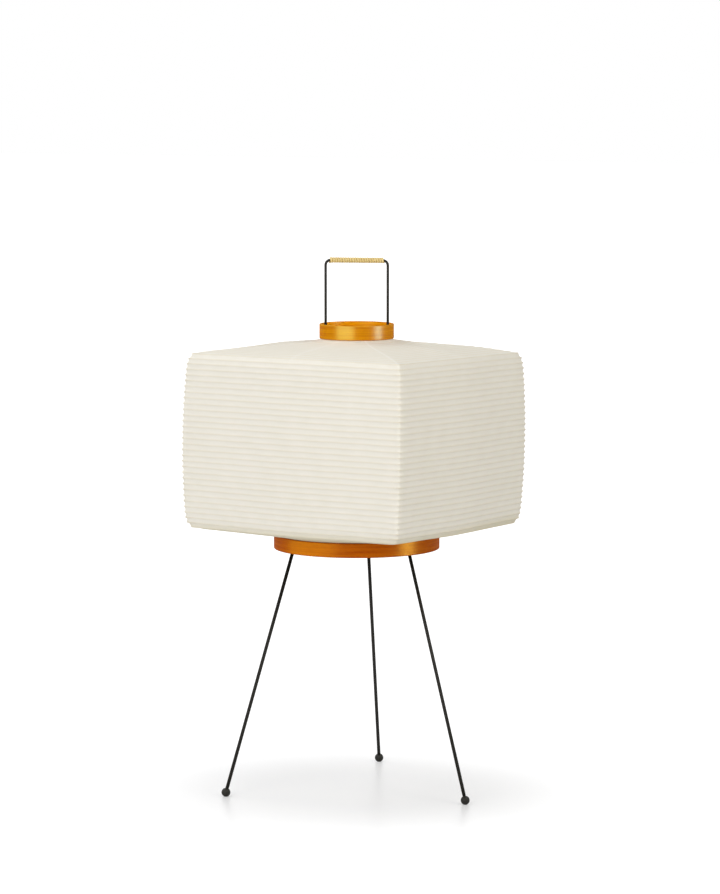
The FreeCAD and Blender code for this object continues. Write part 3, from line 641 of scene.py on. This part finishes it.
class ShadeForm:
    """The shape of the shade: a point by its rib count from the lower ring and its angle."""

    def __init__(self):
        self.sizes = bpy.context.scene.lamp_shade
        wall = bpy.context.scene.lamp_rings.wall
        lower_ring_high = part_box("bottom_ring")[1]
        upper_ring_low, upper_ring_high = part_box("top_ring")
        self.low_neck = (lower_ring_high.x - wall / 2, lower_ring_high.z)
        self.high_neck = (upper_ring_high.x - wall / 2, upper_ring_low.z)
        self.wall_start = self.sizes.floor_ribs + 1
        self.wall_end = self.wall_start + self.sizes.wall_ribs - 1
        self.end = self.wall_end + self.sizes.roof_ribs + 1
        shortfall = self.sizes.corner * (math.sqrt(2) - 1) / (self.sizes.half_width * math.sqrt(2))
        self.power = -math.log(2) / math.log(1 - shortfall)

    def square(self, turn, drawn):
        """Distance from the axis to the wall's outline at an angle, where it is drawn in."""
        half = self.sizes.half_width - drawn
        spread = abs(math.cos(turn)) ** self.power + abs(math.sin(turn)) ** self.power
        return half * spread ** (-1 / self.power) + self.sizes.face_bow * math.cos(2 * turn) ** 2

    def line_point(self, bay, turn):
        """Distance from the axis and height on the smooth form, before the paper sinks in."""
        sizes = self.sizes
        edge = self.square(turn, sizes.barrel + sizes.shoulder)
        lift = sizes.rib_bow * math.cos(2 * turn) ** 2
        tuck = sizes.tuck * corner_share(turn)
        if bay < self.wall_start:
            run = bay / self.wall_start
            reach = lerp(self.low_neck[0], edge - tuck, run)
            level = lerp(self.low_neck[1], sizes.wall_low - lift, self.fall(run))
            return reach, level
        if bay > self.wall_end:
            run = (self.end - bay) / (self.end - self.wall_end)
            off_lap = abs(math.remainder(turn, QUARTER))
            ridge = max(0.0, 1 - off_lap / CREASE_WIDTH) * run * (1 - run) * 4
            reach = lerp(self.high_neck[0], edge, run)
            level = lerp(self.high_neck[1], sizes.wall_high + lift, self.fall(run))
            return reach, level + sizes.crease * ridge
        run = (bay - self.wall_start) / (self.wall_end - self.wall_start)
        even = 2 * run - 1
        off_middle = even * (1 + sizes.crowding) - sizes.crowding * even ** RIB_CROWDING_POWER
        drawn = sizes.barrel * off_middle ** 2 + sizes.shoulder * off_middle ** SHOULDER_POWER
        level = lerp(sizes.wall_low, sizes.wall_high, (off_middle + 1) / 2) + lift * off_middle
        return self.square(turn, drawn) - tuck * max(0.0, self.wall_start + 1 - bay), level

    def fall(self, run):
        """Share of a slope's fall, part of the way from its ring: steep at the ring and at the wall."""
        flare = self.sizes.slope_flare
        return flare * math.sqrt(run) + (1 - flare) * run ** WALL_FALL_POWER

    def crowd(self, turn):
        """An angle moved towards its corner, so that most points lie near the corners."""
        quarter, inside = divmod(turn / QUARTER, 1)
        off_corner = 2 * inside - 1
        crowded = math.copysign(abs(off_corner) ** CORNER_CROWDING, off_corner)
        return (quarter + (crowded + 1) / 2) * QUARTER

    def outward(self, bay, turn):
        """The direction out of the paper, as a step away from the axis and a step up."""
        reach_before, level_before = self.line_point(max(bay - 0.5, 0), turn)
        reach_after, level_after = self.line_point(min(bay + 0.5, self.end), turn)
        out = Vector((level_after - level_before, reach_before - reach_after))
        return out.normalized()

    def point(self, bay, turn, inset=0.0, shift=0.0):
        """A point of the paper, or of a rib inside it by an inset and a shift along the paper."""
        reach, level = self.line_point(bay, turn)
        out = self.outward(bay, turn)
        on_wall = self.wall_start <= bay <= self.wall_end
        notched = 1 + self.sizes.corner_sag * corner_share(turn)
        sag = self.sizes.wall_sag * notched if on_wall else self.sizes.slope_sag
        off_rib = 2 * (bay % 1) - 1
        sway = noise.noise(Vector((math.cos(turn) * SWAY_AROUND, math.sin(turn) * SWAY_AROUND,
                                   bay * SWAY_UP)))
        ease = min(1.0, bay / 2, (self.end - bay) / 2)
        depth = inset + sag * (1 - off_rib ** 2) * (1 + SWAY_SAG * sway)
        reach += -out.x * depth - out.y * shift
        level += -out.y * depth + out.x * shift + self.sizes.waver * sway * ease
        return self.leaned(Vector((reach * math.cos(turn), reach * math.sin(turn), level)), bay)

    def leaned(self, spot, bay):
        """A point after the lean of the walls, which the two rings hold off."""
        hold = min(1.0, bay / self.wall_start, (self.end - bay) / (self.end - self.wall_end))
        fall_x, fall_y = self.sizes.lean
        above = spot.z - self.sizes.lean_level
        return spot + hold * Vector((fall_x * above, fall_y * above, -fall_x * spot.x - fall_y * spot.y))


BAY_ROWS = (0.0, 0.1, 0.28, 0.5, 0.72, 0.9)
RIB_LINE_REACH = 0.16


def paper_marks(piece_shape, form):
    """Puts each point of the unrolled paper in its place and marks the ribs on it."""
    rib_line = piece_shape.verts.layers.float.new("rib_line")
    for point in piece_shape.verts:
        turn = form.crowd(polar_of(point.co)[1] % FULL_TURN)
        bay = point.co.z
        off_rib = abs(bay - round(bay))
        point[rib_line] = max(0.0, 1 - off_rib / RIB_LINE_REACH)
        point.co = form.point(bay, turn)


class LAMP_OT_paper(bpy.types.Operator):
    """Make the pasted paper skin of the shade"""

    bl_idname = "lamp.paper"
    bl_label = "Paper Skin"

    def execute(self, context):
        form = ShadeForm()
        shape = bmesh.new()
        rows = [Vector((1, 0, bay + part)) for bay in range(form.end) for part in BAY_ROWS]
        rows.append(Vector((1, 0, form.end)))
        spin_round(shape, line(shape, rows), context.scene.lamp_shade.around)
        paper_marks(shape, form)
        bmesh.ops.recalc_face_normals(shape, faces=shape.faces)
        piece = finished("paper_skin", shape, pasted_paper(), "pasted_paper", "stand", "shade_paper")
        wall = piece.modifiers.new("paper_thickness", "SOLIDIFY")
        wall.thickness = context.scene.lamp_shade.paper
        wall.offset = -1.0
        fold_with_ring(piece)
        return {"FINISHED"}


INNER_TRACK = 1
OUTER_TRACK = 2
RIB_SIDE = 0.25
PAPERS_BEFORE_RIB = 1.5


class LAMP_OT_ribs(bpy.types.Operator):
    """Make the split ribs inside the paper"""

    bl_idname = "lamp.ribs"
    bl_label = "Split Ribs"

    def execute(self, context):
        form = ShadeForm()
        sizes = context.scene.lamp_shade
        behind_paper = sizes.paper * PAPERS_BEFORE_RIB
        shape = bmesh.new()
        outlines = []
        for bay in range(1, form.end):
            corners = [Vector((track, 0, bay + side)) for track, side in
                       ((OUTER_TRACK, -RIB_SIDE), (OUTER_TRACK, RIB_SIDE),
                        (INNER_TRACK, RIB_SIDE), (INNER_TRACK, -RIB_SIDE))]
            outlines += line(shape, corners, closed=True)
        spin_round(shape, outlines, sizes.around)
        for point in shape.verts:
            track, turn = polar_of(point.co)
            bay = round(point.co.z)
            inset = behind_paper + (0.0 if round(track) == OUTER_TRACK else sizes.rib)
            shift = math.copysign(sizes.rib / 2, point.co.z - bay)
            point.co = form.point(bay, form.crowd(turn % FULL_TURN), inset, shift)
        bmesh.ops.recalc_face_normals(shape, faces=shape.faces)
        piece = finished("split_ribs", shape, split_bamboo(), "split_bamboo", "stand", "shade_ribs")
        fold_with_ring(piece)
        return {"FINISHED"}


def fold_with_ring(piece):
    """Gives a part of the shade a mesh of its own, after reading how far the upper ring slides down."""
    joint = next(joint for joint in frame["joints"] if joint["name"] == "shade_collapse")
    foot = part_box("bottom_ring")[1].z
    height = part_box("top_ring")[0].z - foot
    travel = -joint["range_m"][0]
    1 - travel / height
    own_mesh(piece)


# Wood rings
def wood_ring(name, node, body, material):
    """A bent strip ring with rounded rims."""
    settings = bpy.context.scene.lamp_rings
    low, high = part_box(node)
    inside = high.x - settings.wall
    corners = [Vector((inside, 0, low.z)), Vector((high.x, 0, low.z)),
               Vector((high.x, 0, high.z)), Vector((inside, 0, high.z))]
    shape = bmesh.new()
    spin_round(shape, line(shape, corners, closed=True), settings.steps)
    rims = [edge for edge in shape.edges if abs(edge.verts[0].co.z - edge.verts[1].co.z) < MILLIMETRE
            and abs(polar_of(edge.verts[0].co)[0] - polar_of(edge.verts[1].co)[0]) < MILLIMETRE]
    bmesh.ops.bevel(shape, geom=rims, offset=settings.edge, affect="EDGES", segments=4, profile=0.5,
                    material=-1)
    bmesh.ops.recalc_face_normals(shape, faces=shape.faces)
    piece = finished(name, shape, material, "lacquered_wood", body, node)
    piece.modifiers.new("even_light", "WEIGHTED_NORMAL")


class LAMP_OT_rings(bpy.types.Operator):
    """Make the two lacquered rings"""

    bl_idname = "lamp.rings"
    bl_label = "Wood Rings"

    def execute(self, context):
        wood_ring("upper_bent_ring", "top_ring", "upper_ring", upper_lacquer())
        wood_ring("lower_bent_ring", "bottom_ring", "stand", shaded_lower_lacquer())
        return {"FINISHED"}


# Grip
STRIP_STEPS = 20
STRIP_COVER = 0.49
# Height over the core and width of the strip, as shares, from its foot to its crown
STRIP_PROFILE = ((0.0, 1.0), (0.62, 1.0), (0.90, 0.72), (1.0, 0.2))
GROOVE_START = 0.05
GROOVE_SLOPE = 2.2
KNOT_START = 0.9
LUMP_SIZE = 0.03
LUMP_SCALE = 420


class LAMP_OT_grip(bpy.types.Operator):
    """Wind the strip on the handle's bar"""

    bl_idname = "lamp.grip"
    bl_label = "Wound Grip"

    def execute(self, context):
        settings = context.scene.lamp_grip
        low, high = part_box("grip_wrap")
        thickness = high.z - low.z
        diagonal = math.hypot(high.x - low.x, high.y - low.y)
        length = diagonal - thickness * math.sin(2 * settings.turn) / 2
        radius = thickness / 2 + settings.bulk
        turns = round(length / settings.pitch) - 1
        half_strip = settings.pitch * STRIP_COVER
        shoulder = radius - settings.core
        flank = [(settings.core + shoulder * rise, half_strip * width) for rise, width in STRIP_PROFILE]
        section = [(reach, -side) for reach, side in flank] + flank[::-1]
        steps = turns * STRIP_STEPS
        climb = turns * settings.pitch
        shape = bmesh.new()
        outline = line(shape, [Vector((reach, 0, side - climb / 2)) for reach, side in section], closed=True)
        bmesh.ops.spin(shape, geom=outline, cent=(0, 0, 0), axis=(0, 0, 1), angle=FULL_TURN * turns,
                       dvec=(0, 0, climb / steps), steps=steps)
        bmesh.ops.holes_fill(shape, edges=[edge for edge in shape.edges if edge.is_boundary])
        # Painted shade mask: 0 on the strip's crown, rising to 1 towards the grooves between turns.
        groove_shade = shape.verts.layers.float.new("groove_shade")
        for point in shape.verts:
            reach = polar_of(point.co)[0]
            depth = (radius - reach) / shoulder
            point[groove_shade] = min(1.0, max(0.0, depth - GROOVE_START) * GROOVE_SLOPE)
            at_end = max(0.0, abs(point.co.z) / (climb / 2) - KNOT_START) / (1 - KNOT_START)
            swell = settings.swell if point.co.z < 0 else settings.swell / 4
            lump = 1 + swell * min(1.0, at_end) + LUMP_SIZE * noise.noise(point.co * LUMP_SCALE)
            point.co.x *= lump
            point.co.y *= lump
        bmesh.ops.recalc_face_normals(shape, faces=shape.faces)
        lay = Matrix.Rotation(settings.turn, 4, "Z") @ Matrix.Rotation(QUARTER, 4, "Y")
        bmesh.ops.transform(shape, matrix=Matrix.Translation((low + high) / 2) @ lay, verts=shape.verts)
        finished("grip_winding", shape, wound_rattan(), "wound_rattan", "stand", "grip_wrap")
        return {"FINISHED"}


# Painted wire
PAINTED_WIRES = {
    "handle_rod": "painted_handle",
    "leg_left": "painted_leg_left",
    "leg_right": "painted_leg_right",
    "leg_rear": "painted_leg_rear",
}
PAINT_COAT = 0.00022
WELD_REACH = 0.000002


class LAMP_OT_wires(bpy.types.Operator):
    """Lay a coat of paint over the handle rod and the legs"""

    bl_idname = "lamp.wires"
    bl_label = "Painted Wires"

    def execute(self, context):
        paint = finish_of("black_wire")
        for node, name in PAINTED_WIRES.items():
            wire = frame["nodes"][node]
            shape = bmesh.new()
            shape.from_mesh(wire.data)
            bmesh.ops.transform(shape, matrix=wire.matrix_world, verts=shape.verts)
            bmesh.ops.remove_doubles(shape, verts=shape.verts, dist=WELD_REACH)
            bmesh.ops.recalc_face_normals(shape, faces=shape.faces)
            shape.normal_update()
            outwards = [point.normal * PAINT_COAT for point in shape.verts]
            for point, step in zip(shape.verts, outwards):
                point.co += step
            finished(name, shape, paint, "black_wire", "stand", node)
        return {"FINISHED"}


# Threaded pieces
THREAD_ROWS = 12
THREAD_STEPS = 48
# Pitch, depth and wall of each thread
CAP_THREAD = (0.0036, 0.0007, 0.0012)
TUBE_THREAD = (0.001, 0.0003, 0.0008)


def threaded_sleeve(name, node, body, slot, thread):
    """A thin sleeve with a thread on its outside: pitch, depth and wall."""
    pitch, depth, wall = thread
    low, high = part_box(node)
    radius = high.x
    rows = round((high.z - low.z) / pitch * THREAD_ROWS)
    outside = [Vector((radius, 0, lerp(low.z, high.z, row / rows))) for row in range(rows + 1)]
    inside = [Vector((radius - wall, 0, high.z)), Vector((radius - wall, 0, low.z))]
    shape = bmesh.new()
    spin_round(shape, line(shape, outside + inside, closed=True), THREAD_STEPS)
    for point in shape.verts:
        reach, turn = polar_of(point.co)
        if reach < radius - wall / 2:
            continue
        wave = 0.5 + 0.5 * math.cos(FULL_TURN * point.co.z / pitch - turn)
        fade = min(1.0, (point.co.z - low.z) / pitch, (high.z - point.co.z) / pitch)
        sink = 1 - depth * (1 - wave) * fade / reach
        point.co.x *= sink
        point.co.y *= sink
    finished(name, shape, finish_of(slot), slot, body, node)


class LAMP_OT_threads(bpy.types.Operator):
    """Make the pieces that have a thread"""

    bl_idname = "lamp.threads"
    bl_label = "Threaded Pieces"

    def execute(self, context):
        threaded_sleeve("bulb_screw_cap", "bulb_cap", "bulb", "bulb_cap_metal", CAP_THREAD)
        threaded_sleeve("cord_tube", "threaded_tube", "stand", "plated_steel", TUBE_THREAD)
        return {"FINISHED"}


class LAMP_OT_nodes(bpy.types.Operator):
    """Give every piece that keeps its built shape its finish"""

    bl_idname = "lamp.nodes"
    bl_label = "Wire, Holder and Bulb"

    def execute(self, context):
        for part in frame["record"]["subparts"]:
            node = frame["nodes"][part["node"]]
            if node.hide_render or part["material_slot"] not in NODE_FINISHES:
                continue
            node.data.materials.clear()
            node.data.materials.append(finish_of(part["material_slot"]))
        return {"FINISHED"}


# Stage
WHITE = (1.0, 1.0, 1.0)
BLACK = (0.0, 0.0, 0.0)
LIGHT_AIM = (0.0, 0.0, 0.5)
KEY_EXTENT = (1.8, 1.8)
KEY_PLACE = (0.15, -2.4, 1.15)
SIDE_EXTENT = (1.0, 1.3)
SIDE_PLACE = (1.75, -0.3, 1.8)
TOP_EXTENT = (1.2, 1.2)
TOP_PLACE = (-1.6, -0.2, 2.0)
GLOW_HUE = (1.0, 0.92, 0.72)
RING_GLOW_EXTENT = (0.04, 0.04)
RING_GLOW_DROP = 0.03
BULB_GLOW_EXTENT = (0.07, 0.07)
FRAME_WIDTH = 36.0
VIEW_DEPTH = 100.0


def studio_lamp(name, watts, extent, spot, aim=LIGHT_AIM, hue=WHITE):
    """A soft oval lamp that points at a place."""
    lamp = bpy.data.lights.new(name, "AREA")
    lamp.shape = "ELLIPSE"
    lamp.size, lamp.size_y = extent
    lamp.energy = watts
    lamp.color = hue
    holder = bpy.data.objects.new(name, lamp)
    bpy.context.scene.collection.objects.link(holder)
    holder.location = spot
    holder.rotation_euler = (Vector(aim) - Vector(spot)).to_track_quat("-Z", "Y").to_euler()
    holder.visible_camera = False
    return holder


# The ring, power, hue, extent and place of each card
RING_CARDS = {
    "upper_left_card": ("upper_bent_ring", 720.0, (0.82, 1.0, 0.24), (2.5, 1.2), (-0.2, -2.3, 0.5)),
    "upper_right_card": ("upper_bent_ring", 300.0, (0.68, 1.0, 0.74), (1.0, 1.0), (2.2, 0.42, 0.5)),
    "lower_left_card": ("lower_bent_ring", 680.0, (1.0, 0.62, 0.03), (4.0, 1.2), (-1.3, -1.9, 0.35)),
    "lower_right_card": ("lower_bent_ring", 440.0, (1.0, 0.63, 0.09), (0.9, 1.0), (2.2, 0.55, 0.35)),
}


def light_only(lamp, piece):
    """Let a lamp fall on one piece alone."""
    lamp.light_linking.receiver_collection = bpy.data.collections.new(lamp.name)
    lamp.light_linking.receiver_collection.objects.link(bpy.data.objects[piece])


def gloss_card(name, piece, watts, hue, extent, spot):
    """A card that shows only in the gloss of one piece."""
    card = studio_lamp(name, watts, extent, spot, (0.0, 0.0, spot[2]), hue)
    card.visible_diffuse = False
    light_only(card, piece)


def glow_within(name, watts, extent, level, aim):
    """A small lamp on the axis, for the daylight that comes through the paper."""
    lamp = studio_lamp(name, watts, extent, (0.0, 0.0, level), (0.0, 0.0, aim), GLOW_HUE)
    lamp.visible_glossy = False
    return lamp


def seen_directly(finish):
    """1 for what the camera, a reflection or clear glass sees, 0 for light that only falls on things."""
    rays = [finish.add("ShaderNodeLightPath", output=name)
            for name in ("Is Camera Ray", "Is Glossy Ray", "Is Transmission Ray")]
    return rays[0].math("MAXIMUM", rays[1]).math("MAXIMUM", rays[2])


FLOOR_SHADE = (0.78, 0.787, 0.805)
FLOOR_GLOW = 0.15
SHADOW_CENTRE = (0.01, -0.02, 0.0)
SHADOW_FADE = (0.10, 0.48)


def studio_floor():
    """A pale floor that keeps the lamp's shadow and runs out to white."""
    settings = bpy.context.scene.lamp_stage
    material, finish = new_finish("studio_floor")
    gap = finish.add("ShaderNodeVectorMath", {"operation": "DISTANCE"},
                     {0: finish.where(), 1: SHADOW_CENTRE}, output="Value")
    far = gap.step(*SHADOW_FADE)
    seen = seen_directly(finish)
    shaded = finish.blend(far, opaque(FLOOR_SHADE), opaque(BLACK))
    finish.surface({
        "Base Color": finish.blend(seen, opaque(settings.floor_colour), shaded),
        "Roughness": 0.34,
        "Specular IOR Level": 0.4,
        "Emission Color": opaque(WHITE),
        "Emission Strength": seen * (FLOOR_GLOW + (1 - FLOOR_GLOW) * far),
    })
    return material


class LAMP_OT_stage(bpy.types.Operator):
    """Set the camera, the lights, the floor and the background"""

    bl_idname = "lamp.stage"
    bl_label = "Studio"

    def execute(self, context):
        settings = context.scene.lamp_stage
        scene = context.scene
        scene.view_settings.view_transform = "Standard"

        shape = bmesh.new()
        bmesh.ops.create_grid(shape, x_segments=1, y_segments=1, size=settings.floor_reach)
        mesh = bpy.data.meshes.new("studio_floor")
        shape.to_mesh(mesh)
        shape.free()
        mesh.materials.append(studio_floor())
        floor = bpy.data.objects.new("studio_floor", mesh)
        scene.collection.objects.link(floor)

        world = bpy.data.worlds.new("studio")
        world.use_nodes = True
        scene.world = world
        finish = Finish(world.node_tree)
        strength = settings.ambient + seen_directly(finish) * (1 - settings.ambient)
        light = finish.add("ShaderNodeBackground", {}, {"Color": opaque(WHITE), "Strength": strength})
        finish.add("ShaderNodeOutputWorld", {}, {"Surface": light})

        studio_lamp("key_softbox", settings.key, KEY_EXTENT, KEY_PLACE)
        studio_lamp("side_softbox", settings.side, SIDE_EXTENT, SIDE_PLACE, hue=settings.side_hue)
        studio_lamp("top_softbox", settings.top, TOP_EXTENT, TOP_PLACE)
        for name, facts in RING_CARDS.items():
            gloss_card(name, *facts)
        ring_low, ring_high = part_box("top_ring")
        rising = glow_within("upper_ring_glow", settings.ring_glow, RING_GLOW_EXTENT,
                             ring_low.z - RING_GLOW_DROP, ring_high.z)
        light_only(rising, "upper_bent_ring")
        falling = glow_within("bulb_glow", settings.bulb_glow, BULB_GLOW_EXTENT, ring_high.z, 0.0)
        light_only(falling, frame["nodes"]["bulb_glass"].name)

        lens = bpy.data.cameras.new("studio_camera")
        lens.lens = settings.lens
        lens.sensor_width = FRAME_WIDTH
        lens.clip_end = VIEW_DEPTH
        camera = bpy.data.objects.new("studio_camera", lens)
        scene.collection.objects.link(camera)
        camera.location = settings.eye
        gaze = Vector(settings.target) - Vector(settings.eye)
        camera.rotation_euler = gaze.to_track_quat("-Z", "Y").to_euler()
        scene.camera = camera
        return {"FINISHED"}


# Panel
class LAMP_PT_panel(bpy.types.Panel):
    """Lists the lamp's pieces and settings"""

    bl_idname = "LAMP_PT_panel"
    bl_label = "Paper Lamp"
    bl_space_type = "VIEW_3D"
    bl_region_type = "UI"
    bl_category = "Paper Lamp"

    def draw(self, context):
        for operator in OPERATORS:
            self.layout.operator(operator.bl_idname)
        for name, group in SETTINGS.items():
            box = self.layout.box()
            for entry in group.__annotations__:
                box.prop(getattr(context.scene, name), entry)


SETTINGS = {
    "lamp_shade": ShadeSettings,
    "lamp_rings": RingSettings,
    "lamp_grip": GripSettings,
    "lamp_stage": StageSettings,
}
OPERATORS = (LAMP_OT_paper, LAMP_OT_ribs, LAMP_OT_rings, LAMP_OT_grip, LAMP_OT_wires, LAMP_OT_threads,
             LAMP_OT_nodes, LAMP_OT_stage)


def register():
    """Adds the settings, the operators and the panel."""
    for name, group in SETTINGS.items():
        bpy.utils.register_class(group)
        setattr(bpy.types.Scene, name, PointerProperty(type=group))
    for entry in (*OPERATORS, LAMP_PT_panel):
        bpy.utils.register_class(entry)


def unregister():
    """Takes away what register added."""
    for entry in (LAMP_PT_panel, *reversed(OPERATORS)):
        bpy.utils.unregister_class(entry)
    for name, group in reversed(SETTINGS.items()):
        delattr(bpy.types.Scene, name)
        bpy.utils.unregister_class(group)


def main():
    """Builds the dressed lamp and its stage."""
    register()
    for name in ("paper", "ribs", "rings", "grip", "wires", "threads", "nodes", "stage"):
        getattr(bpy.ops.lamp, name)()


if __name__ == "__main__":
    main()
